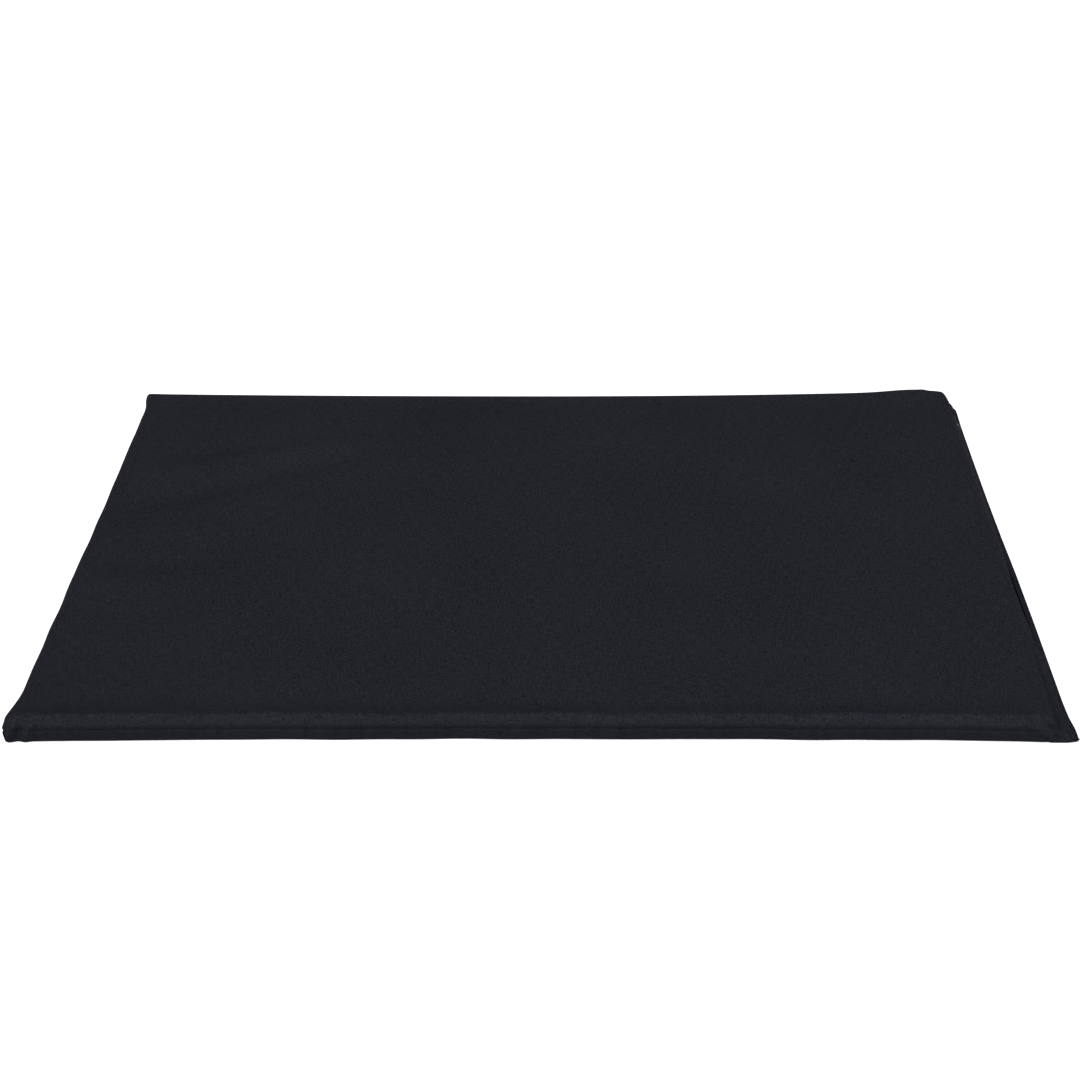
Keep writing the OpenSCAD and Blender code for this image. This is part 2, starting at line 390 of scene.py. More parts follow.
def bow(x, y, z):
    """How far the walls are drawn in between the seam's corners, at a point: (to the right, to the back)."""
    over_x = np.clip(1 - (x / (WALL_X - 4)) ** 2, 0, 1)
    over_y = np.clip(1 - (y / (WALL_Y - 4)) ** 2, 0, 1)
    reach = 70
    from_corner = WALL_Y - np.abs(y) + 4 * smooth((z - SEAM_Z) / 4)
    left_in, front_in, back_in = DRAWN_IN
    left = left_in * smooth(from_corner / 26) ** 0.6 * (0.9 + 0.1 * over_y) * smooth(1 - (x + WALL_X) / reach)
    front = front_in * over_x**0.7 * smooth(1 - (y + WALL_Y) / reach)
    left_out = 1 - (1 - over_x**0.8) * np.where(x < 0, 0.3, 1)
    back = -back_in * left_out * smooth(1 - (WALL_Y - y) / reach)
    ripple = 0.16 * waves(y, 0 * y, (28, 60), 5) * smooth(1 - (x + WALL_X) / 20)
    over = smooth((x + WALL_X) / 8) * smooth((HINGE_X - x) / 10) * smooth(1 - (y + WALL_Y) / 6)
    front = front - BULGE * bump(z, 9.8, 2.4) * over
    return left + ripple, front + back + 0.12 * waves(x, 0 * x, (34, 75), 6) * smooth(1 - (y + WALL_Y) / 25)


def top_grid(u_lines, v_lines, t_lines):
    """The outer face of the top: its points, its cut coordinates, and the row where the lap begins."""
    y_edge, _ = edge(v_lines, RISE, ROLL)
    y_back, _ = edge(CUT_V - v_lines, RISE, ROLL)
    y0 = np.where(v_lines < CUT_V / 2, -WALL_Y + y_edge, WALL_Y - y_back)

    # From the left seam to the hinge line
    in_left, up_left = edge(u_lines, RISE, ROLL)
    x = np.repeat((-WALL_X + in_left)[:, None], len(v_lines), 1)
    z = np.full(x.shape, TOP)
    u = np.repeat(u_lines[:, None], len(v_lines), 1)

    # From the hinge line down to the folded edge
    right, down, slope = zip_end_profiles(y0)
    shut_length = np.array([np.interp(h - HINGE_X - 2.4, r, PROFILE) for h, r in zip(hem_x(y0), right)])
    shut = sewn(y0)
    length = lap_length(y0) * (1 - shut) + shut_length * shut
    s = length[:, None] * t_lines[None, 1:]
    x_lap, z_lap = HINGE_X + at(right, s).T, TOP - at(down, s).T

    # Round the fold and back underneath
    turn = np.radians([30, 60, 90, 120, 150, 180])
    end_slope = at(slope, length[:, None])
    end_x, end_z = at(right, length[:, None]), at(down, length[:, None])
    out = FOLD_R * (np.cos(turn)[None] - 1)
    ahead = FOLD_R * np.sin(turn)[None]
    x_fold = HINGE_X + (end_x + np.sin(end_slope) * out + np.cos(end_slope) * ahead).T
    z_fold = TOP - (end_z - np.cos(end_slope) * out + np.sin(end_slope) * ahead).T
    back = np.minimum(8, length - 3.2)[:, None] * np.array([0.12, 0.3, 0.55, 0.8, 1.0])[None]
    s_back = length[:, None] - back
    b_slope = at(slope, s_back)
    x_ret = HINGE_X + (at(right, s_back) - 2 * FOLD_R * np.sin(b_slope)).T
    z_ret = TOP - (at(down, s_back) + 2 * FOLD_R * np.cos(b_slope)).T

    x = np.concatenate([x, x_lap, x_fold, x_ret])
    z = np.concatenate([z, z_lap, z_fold, z_ret])
    around = length[:, None] + FOLD_R * turn[None]
    u = np.concatenate([u, CUT_U + s.T, CUT_U + around.T, CUT_U + (around[:, -1:] + back).T])

    # Front and back edges turn down to the seam, which drops to the hem at the zip end's corners
    z_seam = seam_height(x)
    rise = np.maximum(z - z_seam, 0.5)
    v = np.repeat(v_lines[None], len(x), 0)
    drops, ys = [], []
    for d in (v, CUT_V - v):
        inset, up = edge(d, rise, ROLL)
        plain, _ = edge(d, RISE, ROLL)
        inset = inset + (plain - inset) * smooth((d - 5) / 22)
        drops.append(np.maximum(rise - up, 0) / rise)
        ys.append(inset)
    y = np.where(v < CUT_V / 2, -WALL_Y + ys[0], WALL_Y - ys[1])
    left = np.zeros(x.shape)
    left[: len(u_lines)] = (np.maximum(RISE - up_left, 0) / RISE)[:, None]
    z = z - (z - z_seam) * np.minimum((left**3 + drops[0] ** 3 + drops[1] ** 3) ** (1 / 3), 1)
    return np.stack([x, y, z], -1), np.stack([u, v], -1), len(u_lines)


def settle(P, right_edge):
    """The plan's bowed sides and round corners."""
    x, y, z = P[..., 0].copy(), P[..., 1].copy(), P[..., 2].copy()
    radius = 1.1 + 3.2 * smooth((z - SEAM_Z) / 5) + 0.6 * smooth((SEAM_Z - z) / 5)
    for side in (-1, 1):
        a, b = rounded(x + WALL_X, WALL_Y - side * y, radius)
        near = (x < -WALL_X + radius) & (WALL_Y - side * y < radius)
        x = np.where(near, a - WALL_X, x)
        y = np.where(near, side * (WALL_Y - b), y)
    a, b = rounded(right_edge - x, WALL_Y - y, CORNER_R)
    near = (x > right_edge - CORNER_R) & (WALL_Y - y < CORNER_R)
    x = np.where(near, right_edge - a, x)
    y = np.where(near, WALL_Y - b, y)
    dx, dy = bow(x, y, z)
    return np.stack([x + dx, y + dy, z], -1)


def crown(P):
    """How far the top stands up from the flat: the ridge, the hollow, the puckers and the corner."""
    x, y, z = P[..., 0], P[..., 1], P[..., 2]
    high = smooth((z - SEAM_Z - 1) / (RISE - 1.5))
    e = y + WALL_Y
    hand = 1 + 0.14 * waves(x, 0 * x, (45, 90), 11)
    wide = 20 + 2.0 * waves(x, 0 * x, (60, 130), 12)
    ends = smooth((x + WALL_X) / 14) * smooth((HINGE_X + 2 - x) / 12) * smooth((WALL_Y - y - 2) / 20)
    behind = RIDGE_FALL * hand * np.clip(1 - (e - RIDGE_AT) / wide, 0, 1) ** 2.5 - (RIDGE_FALL - RIDGE_RISE)
    ridge = np.where(e < RIDGE_AT, (RIDGE_FALL * (hand - 1) + RIDGE_RISE) * smooth(e / RIDGE_AT), behind)
    soft = 0.09 * waves(x, y, (70, 120), 13) + 0.035 * waves(x, y, (30,), 14)
    inner = smooth((x + WALL_X - 4) / 18) * smooth((WALL_Y - y - 4) / 18) * smooth((HINGE_X + 4 - x) / 14)
    corner = 1.2 * bump(x, 202, 16) * bump(y, WALL_Y - 5, 14) - 1.3 * bump(x, 221, 6) * bump(y, WALL_Y - 3, 9)
    sag = -0.5 * bump(e, 275, 14) * (1 - (x / WALL_X) ** 2)
    return high * (ridge * ends + (soft + pucker_height(x, y)) * inner + corner + sag)


def groove(P, uv, z_seam):
    """Draws the cloth in along the seam."""
    x, y, z = np.moveaxis(P, -1, 0)
    depth = 0.5 * bump(z - z_seam, 0, 0.75)
    in_y = np.minimum(uv[..., 1], CUT_V - uv[..., 1]) < 9
    in_x = uv[..., 0] < 9
    y = y - np.sign(y) * depth * in_y
    x = x + depth * in_x
    return np.stack([x, y, z], -1)


TOP_U = lines((0, 0.9), (10, 1.6), (30, 4), (CUT_U - 26, 2.2), (CUT_U, 1))
TOP_V = lines((0, 0.9), (10, 1.6), (34, 4), (CUT_V - 62, 2), (CUT_V - 10, 0.9), (CUT_V, 1))
middle_lines = np.arange(48, CUT_V - 48, 3.0)
TOP_V = np.unique(np.concatenate([TOP_V[TOP_V < 48], middle_lines, TOP_V[TOP_V > CUT_V - 46]]))
TOP_T = np.linspace(0, 1, 19)

top_points, top_uv, lap_row = top_grid(TOP_U, TOP_V, TOP_T)
edge_x = np.repeat(hem_x(top_points[0, :, 1])[None], len(top_points), 0)
top_points = settle(top_points, edge_x)
top_points[..., 2] += crown(top_points)


def simulated(P, hold):
    """The grid P after the cloth simulation, pressed outwards by the foam. hold is 1 where it is sewn."""
    n, m = P.shape[:2]
    i, j = np.meshgrid(np.arange(n - 1), np.arange(m - 1), indexing="ij")
    a = (i * m + j).ravel()
    form = make("cloth_form", P.reshape(-1, 3), np.stack([a, a + m, a + m + 1, a + 1], -1))
    group = form.vertex_groups.new(name="sewn")
    for k, weight in enumerate(hold.ravel()):
        group.add([k], float(weight), "REPLACE")
    cloth = form.modifiers.new("cloth", "CLOTH")
    cloth.settings.quality = 6
    cloth.settings.mass = 0.2
    cloth.settings.tension_stiffness = 20
    cloth.settings.compression_stiffness = 10
    cloth.settings.shear_stiffness = 8
    cloth.settings.bending_stiffness = 1.5
    cloth.settings.vertex_group_mass = "sewn"
    cloth.settings.use_pressure = True
    cloth.settings.uniform_pressure_force = FOAM_PRESSURE
    cloth.settings.effector_weights.gravity = 0
    cloth.point_cache.frame_start = 1
    cloth.point_cache.frame_end = 20
    for number in range(1, 21):
        bpy.context.scene.frame_set(number)
    result = form.evaluated_get(bpy.context.evaluated_depsgraph_get())
    moved = np.empty(n * m * 3, np.float32)
    result.data.vertices.foreach_get("co", moved)
    shift = moved.reshape(n, m, 3) / MM - P
    size = np.maximum(np.linalg.norm(shift, axis=2, keepdims=True), 1e-6)
    bpy.data.objects.remove(form, do_unlink=True)
    bpy.context.scene.frame_set(1)
    capped = MOST_MOVE * np.tanh(size / MOST_MOVE)
    print("cloth simulation, mm, before the cap: mean", float(size.mean()), "most", float(size.max()))
    print("cloth simulation, mm, after the cap: mean", float(capped.mean()), "most", float(capped.max()))
    return P + shift * MOST_MOVE * np.tanh(size / MOST_MOVE) / size


from_seam = np.minimum(np.minimum(top_uv[..., 1], CUT_V - top_uv[..., 1]), top_uv[..., 0])
from_seam = np.minimum(from_seam, CUT_U - 4 - top_uv[..., 0])
hold = 1 - smooth((from_seam - 6) / 14)
loose_v = slice(int(np.argmax(TOP_V > 5)), int(np.argmax(TOP_V > CUT_V - 5)))
loose = (slice(int(np.argmax(TOP_U > 5)), lap_row), loose_v)
top_points[loose] = simulated(top_points[loose], hold[loose])

CREASES = (
    # where the cloth is pulled round a corner:
    # from x, z to x, z on the front (-1) or back (1) face, depth, width
    (-209.5, 13.5, -214.8, 2.0, -1, 0.8, 1.7),
    (-216.5, 11.0, -218.5, 5.5, -1, 0.35, 1.2),
    (213.5, 14.0, 226.5, 3.5, -1, 1.0, 1.8),
    (-213.0, 13.0, -217.5, 4.0, 1, 0.6, 1.5),
    (213.0, 13.5, 221.0, 5.0, 1, 0.6, 1.7),
)


def creased(P):
    """Presses the corner folds into the front and back faces, each with a soft ridge on both sides."""
    x, y, z = np.moveaxis(P, -1, 0)
    total = np.zeros(x.shape)
    for x0, z0, x1, z1, side, depth, width in CREASES:
        way = np.array([x1 - x0, z1 - z0])
        along = np.clip(((x - x0) * way[0] + (z - z0) * way[1]) / (way @ way), 0, 1)
        off = np.hypot(x - x0 - along * way[0], z - z0 - along * way[1])
        face = 1 - smooth((WALL_Y - side * y - 1.5) / 3.5)
        total += side * depth * face * (0.6 * bump(off, 2.1 * width, width) - bump(off, 0, width))
    return np.stack([x, y + total, z], -1)


top_points, top_uv = finer(top_points, DETAIL), finer(top_uv, DETAIL)
lap_row = (lap_row - 1) * DETAIL
top_points = groove(top_points, top_uv, seam_height(top_points[..., 0]))
top_points = creased(top_points)


def round_corners(P, N):
    """Normals of the two sewn corners of the left end, where the grid's lines run together."""
    x, y, z = np.moveaxis(P, -1, 0)
    across, along = x + WALL_X - 3, np.abs(y) - WALL_Y + 3
    near = smooth((-across - 0.6) / 1.2) * smooth((along - 0.6) / 1.2)
    near = near * smooth((z - 0.8) / 1.5) * smooth((TOP - 2.6 - z) / 1.5)
    out = np.stack([across, along * np.sign(y), 0 * z], -1)
    out = out / np.maximum(np.linalg.norm(out, axis=2, keepdims=True), 1e-6)
    N = N * (1 - near[..., None]) + out * near[..., None]
    return N / np.maximum(np.linalg.norm(N, axis=2, keepdims=True), 1e-9)


top_normals = round_corners(top_points, grid_normals(top_points))


# -------- the underside of the cover
def under_grid():
    """The outer face of the underside, up to the seam, with the hem folded at the zip end."""
    cut_v = 2 * (UNDER_WRAP - UNDER_ROLL + WALL_Y)
    cut_u = UNDER_WRAP - UNDER_ROLL + WALL_X + HINGE_X
    u_lines = lines((0, 0.7), (9, 1.6), (30, 5), (cut_u - 20, 2.5), (cut_u, 1))
    v_lines = lines((0, 0.7), (9, 1.6), (30, 5), (cut_v - 30, 1.6), (cut_v - 9, 0.7), (cut_v, 1))
    y_front, _ = edge(v_lines, SEAM_Z, UNDER_ROLL)
    y_back, _ = edge(cut_v - v_lines, SEAM_Z, UNDER_ROLL)
    y0 = np.where(v_lines < cut_v / 2, -WALL_Y + y_front, WALL_Y - y_back)
    in_left, up_left = edge(u_lines, SEAM_Z, UNDER_ROLL)
    x = np.repeat((-WALL_X + in_left)[:, None], len(v_lines), 1)
    z = np.zeros(x.shape)
    u = np.repeat(u_lines[:, None], len(v_lines), 1)

    r = HEM_TOP / 2
    reach = hem_x(y0) - r
    flat = HINGE_X + (reach - HINGE_X)[None] * np.array([0.2, 0.4, 0.6, 0.8, 1.0])[:, None]
    turn = np.radians(np.arange(22.5, 181, 22.5))[:, None]
    back = np.array([0.6, 1.2, 1.7])[:, None]
    x = np.concatenate([x, flat, reach[None] + r * np.sin(turn), reach[None] - back])
    z = np.concatenate([z, 0 * flat, r * (1 - np.cos(turn)) + 0 * reach[None],
                        0 * back + HEM_TOP + 0 * reach[None]])
    u = np.concatenate([u, cut_u + flat - HINGE_X, cut_u + reach[None] - HINGE_X + r * turn,
                        cut_u + reach[None] - HINGE_X + r * math.pi + back])
    v = np.repeat(v_lines[None], len(x), 0)
    z_seam = seam_height(x)
    rise = np.maximum(z_seam - z, 0.2)
    lifts, ys = [], []
    for d in (v, cut_v - v):
        inset, up = edge(d, rise, UNDER_ROLL)
        plain, _ = edge(d, SEAM_Z, UNDER_ROLL)
        ys.append(inset + (plain - inset) * smooth((d - 5) / 22))
        lifts.append(np.maximum(rise - up, 0) / rise)
    y = np.where(v < cut_v / 2, -WALL_Y + ys[0], WALL_Y - ys[1])
    left = np.zeros(x.shape)
    left[: len(u_lines)] = (np.maximum(SEAM_Z - up_left, 0) / SEAM_Z)[:, None]
    whole = np.minimum((left**3 + lifts[0] ** 3 + lifts[1] ** 3) ** (1 / 3), 1)
    z = z + (z_seam - z) * whole
    P = settle(np.stack([x, y, z], -1), np.repeat(hem_x(y0)[None], len(x), 0))
    return P, np.stack([u, v], -1)


under_points, under_uv = under_grid()
under_points, under_uv = finer(under_points, DETAIL), finer(under_uv, DETAIL)
under_points = groove(under_points, under_uv, seam_height(under_points[..., 0]))
under_points = creased(under_points)
under_points[..., 2] = np.maximum(under_points[..., 2], 0.02)
under_normals = round_corners(under_points, grid_normals(under_points, -1))


# -------- materials
def material(name):
    m = bpy.data.materials.new(name)
    m.use_nodes = True
    nodes = m.node_tree.nodes
    return m, nodes, m.node_tree.links, nodes["Principled BSDF"]


def math_node(nodes, links, kind, a, b=None, c=None):
    n = nodes.new("ShaderNodeMath")
    n.operation = kind
    for k, value in enumerate((a, b, c)):
        if value is None:
            continue
        if isinstance(value, (int, float)):
            n.inputs[k].default_value = value
        else:
            links.new(value, n.inputs[k])
    return n.outputs[0]


def mix_colour(nodes, links, factor, dark, light):
    n = nodes.new("ShaderNodeMix")
    n.data_type = "RGBA"
    links.new(factor, n.inputs["Factor"])
    for socket, value in ((n.inputs["A"], dark), (n.inputs["B"], light)):
        if isinstance(value, tuple):
            socket.default_value = (*value, 1)
        else:
            links.new(value, socket)
    return n.outputs["Result"]


def noise(nodes, links, vector, scale, detail=2.0, rough=0.5):
    n = nodes.new("ShaderNodeTexNoise")
    n.inputs["Scale"].default_value = scale
    n.inputs["Detail"].default_value = detail
    n.inputs["Roughness"].default_value = rough
    links.new(vector, n.inputs["Vector"])
    return n.outputs["Fac"]


def scaled(nodes, links, vector, by):
    n = nodes.new("ShaderNodeVectorMath")
    n.operation = "MULTIPLY"
    links.new(vector, n.inputs[0])
    n.inputs[1].default_value = by
    return n.outputs[0]


def woven(name, dark, light, yarn, rough, specular, lint=0.0):
    """Plain-woven cloth on its cut coordinates, in metres. yarn is the spacing of the yarns in metres."""
    m, nodes, links, shader = material(name)
    uv = nodes.new("ShaderNodeUVMap")
    uv.uv_map = "cloth"
    flat = uv.outputs[0]
    sep = nodes.new("ShaderNodeSeparateXYZ")
    links.new(flat, sep.inputs[0])
    slow = noise(nodes, links, flat, 260, 2)
    wobble = math_node(nodes, links, "MULTIPLY", slow, 1.4)
    turn = math.pi / yarn
    phase_u = math_node(nodes, links, "MULTIPLY_ADD", sep.outputs[0], turn, wobble)
    wave_u = math_node(nodes, links, "SINE", phase_u)
    phase_v = math_node(nodes, links, "MULTIPLY_ADD", sep.outputs[1], turn, wobble)
    wave_v = math_node(nodes, links, "SINE", phase_v)
    checker = math_node(nodes, links, "MULTIPLY", wave_u, wave_v)
    along = noise(nodes, links, scaled(nodes, links, flat, (220, 2200, 1)), 1, 2)
    across = noise(nodes, links, scaled(nodes, links, flat, (2200, 220, 1)), 1, 2)
    streak = math_node(nodes, links, "ADD", along, across)
    grain = noise(nodes, links, flat, 1100, 2, 0.8)
    tone = math_node(nodes, links, "MULTIPLY", streak, 0.7)
    tone = math_node(nodes, links, "MULTIPLY_ADD", checker, 0.1, tone)
    tone = math_node(nodes, links, "MULTIPLY_ADD", grain, 1.3, tone)
    cloud = noise(nodes, links, flat, 14, 3)
    tone = math_node(nodes, links, "SUBTRACT", tone, 0.95)
    tone = math_node(nodes, links, "MULTIPLY_ADD", cloud, 0.2, tone)
    colour = mix_colour(nodes, links, tone, dark, light)
    if lint:
        cells = nodes.new("ShaderNodeTexVoronoi")
        cells.inputs["Scale"].default_value = 45
        links.new(flat, cells.inputs["Vector"])
        speck = math_node(nodes, links, "LESS_THAN", cells.outputs["Distance"], 0.015)
        pick = nodes.new("ShaderNodeSeparateXYZ")
        links.new(cells.outputs["Color"], pick.inputs[0])
        some = math_node(nodes, links, "GREATER_THAN", pick.outputs[0], 1 - lint)
        fluff = math_node(nodes, links, "MULTIPLY", speck, some)
        colour = mix_colour(nodes, links, fluff, colour, (0.4, 0.4, 0.42))
    links.new(colour, shader.inputs["Base Color"])
    height = math_node(nodes, links, "MULTIPLY_ADD", streak, 0.5, checker)
    height = math_node(nodes, links, "MULTIPLY_ADD", grain, 0.5, height)
    bumps = nodes.new("ShaderNodeBump")
    bumps.inputs["Strength"].default_value = 0.555
    bumps.inputs["Distance"].default_value = 0.00012
    links.new(height, bumps.inputs["Height"])
    links.new(bumps.outputs[0], shader.inputs["Normal"])
    links.new(math_node(nodes, links, "MULTIPLY_ADD", streak, 0.12, rough - 0.12), shader.inputs["Roughness"])
    shader.inputs["Specular IOR Level"].default_value = specular
    shader.inputs["Specular Tint"].default_value = (0.72, 0.82, 1.0, 1)
    return m


def speckled(name, dark, light, scale, rough, specular, depth, strength=0.4, coat=0.0):
    """A moulded, painted or foamed surface: two tones of noise, and a fine bump, in object coordinates."""
    m, nodes, links, shader = material(name)
    where = nodes.new("ShaderNodeTexCoord").outputs["Object"]
    fine = noise(nodes, links, where, scale, 3, 0.6)
    broad = noise(nodes, links, where, scale / 12, 2)
    tone = math_node(nodes, links, "MULTIPLY", math_node(nodes, links, "ADD", fine, broad), 0.6)
    links.new(mix_colour(nodes, links, tone, dark, light), shader.inputs["Base Color"])
    bumps = nodes.new("ShaderNodeBump")
    bumps.inputs["Strength"].default_value = strength
    bumps.inputs["Distance"].default_value = depth
    links.new(fine, bumps.inputs["Height"])
    links.new(bumps.outputs[0], shader.inputs["Normal"])
    links.new(math_node(nodes, links, "MULTIPLY_ADD", broad, 0.15, rough - 0.07), shader.inputs["Roughness"])
    shader.inputs["Specular IOR Level"].default_value = specular
    shader.inputs["Coat Weight"].default_value = coat
    return m


FABRIC = woven("cover_cloth", (0.0010, 0.0011, 0.0022), (0.0147, 0.0153, 0.0189), 0.00045, 0.9, 0.02, 0.06)
# The underside's cloth is the top's cloth made darker: painted shade on the hem strip and on the walls below
# the seam.
UNDER = woven("underside_cloth_painted_shade", (0.0009, 0.0011, 0.0020), (0.0122, 0.0128, 0.0159),
              0.00045, 0.92, 0.01, 0.04)
# The zip's tape is black, and is made darker still: painted shade for the gap under the lap's folded edge.
TAPE = woven("zip_tape_cloth_shade_darkened", (0.0018, 0.0018, 0.0021), (0.0040, 0.0040, 0.0044), 0.0003, 0.8, 0.1)
FOAM = speckled("foam_cells", (0.018, 0.0185, 0.020), (0.045, 0.046, 0.049), 1400, 0.9, 0.2, 0.0004, 0.9)
# The coil is black nylon, and is made darker still: painted shade for the gap under the lap's folded edge.
NYLON = speckled("coil_nylon_shade_darkened", (0.0025, 0.0025, 0.0028), (0.0055, 0.0055, 0.0060), 900, 0.38, 0.5, 0.00003)
METAL = speckled("painted_metal", (0.004, 0.004, 0.0044), (0.009, 0.009, 0.0094),
                 2500, 0.5, 0.35, 0.00003, 0.3, 0.2)
THREAD = speckled("sewing_thread", (0.0028, 0.0030, 0.0042), (0.0075, 0.0080, 0.0100),
                  3500, 0.7, 0.15, 0.00006, 0.6)


# -------- the cover's pieces
v_mid = (top_uv[:-1, :-1, 1] + top_uv[1:, 1:, 1]) / 2
rows = np.arange(len(v_mid))[:, None]
y_mid = v_mid - CUT_V / 2
in_lap = (rows >= lap_row) & (y_mid > MOUTH_FRONT) & (y_mid < MOUTH_BACK)
in_front_half = in_lap & (y_mid < LAP_SPLIT)
in_back_half = in_lap & (y_mid >= LAP_SPLIT)

cover_top = shell("cover_top", top_points, top_normals, top_uv, ~in_lap, FABRIC)
lap_front = shell("lap_front", top_points, top_normals, top_uv, in_front_half, FABRIC)
lap_back = shell("lap_back", top_points, top_normals, top_uv, in_back_half, FABRIC)
under_keep = np.ones((len(under_points) - 1, under_points.shape[1] - 1), bool)
cover_bottom = shell("cover_bottom", under_points, under_normals, under_uv, under_keep, UNDER)

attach(cover_top, "cover")
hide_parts("top_panel")
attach(cover_bottom, "cover")
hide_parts("bottom_panel")
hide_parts("zip_lap")
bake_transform(lap_front)
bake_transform(lap_back)


# -------- the foam inside
def foam_pad():
    """A closed block of foam with soft edges, drawn in like its cover."""
    gap = 0.7
    half_x, half_y = foam_high[0] - 0.4, foam_high[1] - 0.4
    low, high = foam_low[2] + 0.1, foam_high[2] - 0.25
    middle = (low + high) / 2
    rise, radius = high - middle, 4.6
    along = lines((0, 0.9), (9, 3), (30, 6), (2 * half_x - 22, 3), (2 * half_x - 1, 0.9), (2 * half_x + 7, 1))
    across = lines((0, 0.9), (9, 3), (30, 6),
                   (2 * half_y - 22, 3), (2 * half_y - 1, 0.9), (2 * half_y + 7, 1))
    sheets = []
    for sign in (1, -1):
        left, up_left = edge(along, rise, radius)
        right, up_right = edge(along[-1] - along, rise, 2.2)
        front, up_front = edge(across, rise, radius)
        back, up_back = edge(across[-1] - across, rise, radius)
        x = np.where(along < along[-1] / 2, -half_x + left, half_x - right)
        y = np.where(across < across[-1] / 2, -half_y + front, half_y - back)
        x, y = np.meshgrid(x, y, indexing="ij")
        drop = [np.maximum(rise - up, 0) / rise for up in (up_left, up_right)]
        drop = [d[:, None] + 0 * y for d in drop]
        drop += [(np.maximum(rise - up, 0) / rise)[None] + 0 * x for up in (up_front, up_back)]
        z = middle + sign * rise * (1 - np.minimum(sum(d**3 for d in drop) ** (1 / 3), 1))
        P = settle(np.stack([x, y, z], -1), np.full(x.shape, half_x))
        P[..., 0] += gap * smooth(1 - (P[..., 0] + WALL_X) / 30)
        P[..., 1] -= gap * np.sign(P[..., 1]) * smooth((np.abs(P[..., 1]) - WALL_Y + 30) / 30)
        P[..., 2] += np.minimum(crown(P), 0) * (sign > 0)
        sheets.append(P)
    top, bottom = sheets
    n, m = top.shape[:2]
    index_top = np.arange(n * m).reshape(n, m)
    index_bottom = index_top + n * m
    rim = np.ones((n, m), bool)
    rim[1:-1, 1:-1] = False
    index_bottom = np.where(rim, index_top, index_bottom)
    faces = []
    for idx, flip in ((index_top, False), (index_bottom, True)):
        q = np.stack([idx[:-1, :-1], idx[1:, :-1], idx[1:, 1:], idx[:-1, 1:]], -1).reshape(-1, 4)
        faces.append(q[:, ::-1] if flip else q)
    faces = np.concatenate(faces)
    verts = np.concatenate([top.reshape(-1, 3), bottom.reshape(-1, 3)])
    used, flat = np.unique(faces, return_inverse=True)
    return make("foam_pad", verts[used], flat.reshape(-1, 4), "cover", None, None, FOAM)


foam = foam_pad()
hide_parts("foam_core")


# -------- stitches
def stitch(start, end, up, radius=0.15, arch=0.22):
    """One stitch from start to end, standing up from the cloth along up, its ends sunk into it."""
    start, end, up = (np.asarray(p, float) for p in (start, end, up))
    t = np.linspace(0, 1, 7)[:, None]
    lift = arch * np.sin(t * math.pi) ** 0.6 - 0.12
    path = start + (end - start) * t + up * lift
    thick = radius * (0.55 + 0.45 * np.sin(t[:, 0] * math.pi) ** 0.5)
    return tube(path, thick, 6, np.cross(end - start, up))


def stitches_along(points, normals, pitch, gap, radius=0.15):
    """A run of stitches along a line of points."""
    parts = Parts()
    step = np.linalg.norm(np.diff(points, axis=0), axis=1)
    far = np.concatenate([[0], np.cumsum(step)])
    for start in np.arange(1.0, far[-1] - pitch, pitch):
        a, b = (np.array([np.interp(q, far, points[:, k]) for k in range(3)])
                for q in (start, start + pitch - gap))
        n = np.array([np.interp(start + pitch / 2, far, normals[:, k]) for k in range(3)])
        parts.add(*stitch(a, b, n / np.linalg.norm(n), radius))
    return parts


def seam_line():
    """The seam from the zip end's front corner round to its back corner, on the cover's outline."""
    front, left, back = top_points[:lap_row, 0], top_points[0], top_points[:lap_row, -1]
    line = np.concatenate([front[::-1], left[1:-1], back])
    apart = np.linalg.norm(np.diff(line, axis=0), axis=1) > 0.05
    line = line[np.concatenate([[True], apart])]
    centre = line * [1, 1, 0]
    out = np.gradient(line, axis=0)
    out = np.cross(out, [0, 0, 1.0])
    out[(out * centre).sum(1) < 0] *= -1
    out /= np.linalg.norm(out, axis=1, keepdims=True)
    return line, out


seam_points, seam_out = seam_line()
seam_run = stitches_along(seam_points - seam_out * 0.18, seam_out, SEAM_PITCH, STITCH_GAP, 0.11)
seam_thread = seam_run.make("seam_stitches", "cover", THREAD)
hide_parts("perimeter_seam_thread")


def surface_z(x, y):
    """Height of the top's outer face at (x, y) on the zip end, from the nearest grid point."""
    outer = top_points[lap_row : lap_row + DETAIL * (len(TOP_T) - 1) + 1]
    d = (outer[..., 0] - x) ** 2 + (outer[..., 1] - y) ** 2
    return outer[..., 2].ravel()[d.argmin()]


def run_on_top(y_from, y_to, inset):
    """Points of a stitch line on the sewn-down corner, inset from the hem's outer edge."""
    ys = np.arange(y_from, y_to, 1.0)
    xs = hem_x(ys) - inset
    zs = np.array([surface_z(x, y) for x, y in zip(xs, ys)])
    return np.stack([xs, ys, zs], -1)


corner = Parts()
for y_from, y_to in ((-WALL_Y + 4, MOUTH_FRONT - 2.5), (MOUTH_BACK + 2.5, WALL_Y - 5)):
    line = run_on_top(y_from, y_to, CORNER_INSET)
    run = stitches_along(line, np.tile([0, 0, 1.0], (len(line), 1)), STITCH_PITCH, STITCH_GAP)
    corner.add(np.concatenate(run.verts), run.faces)
corner_stitches = corner.make("corner_stitches", "cover", THREAD)
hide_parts("corner_stitching")


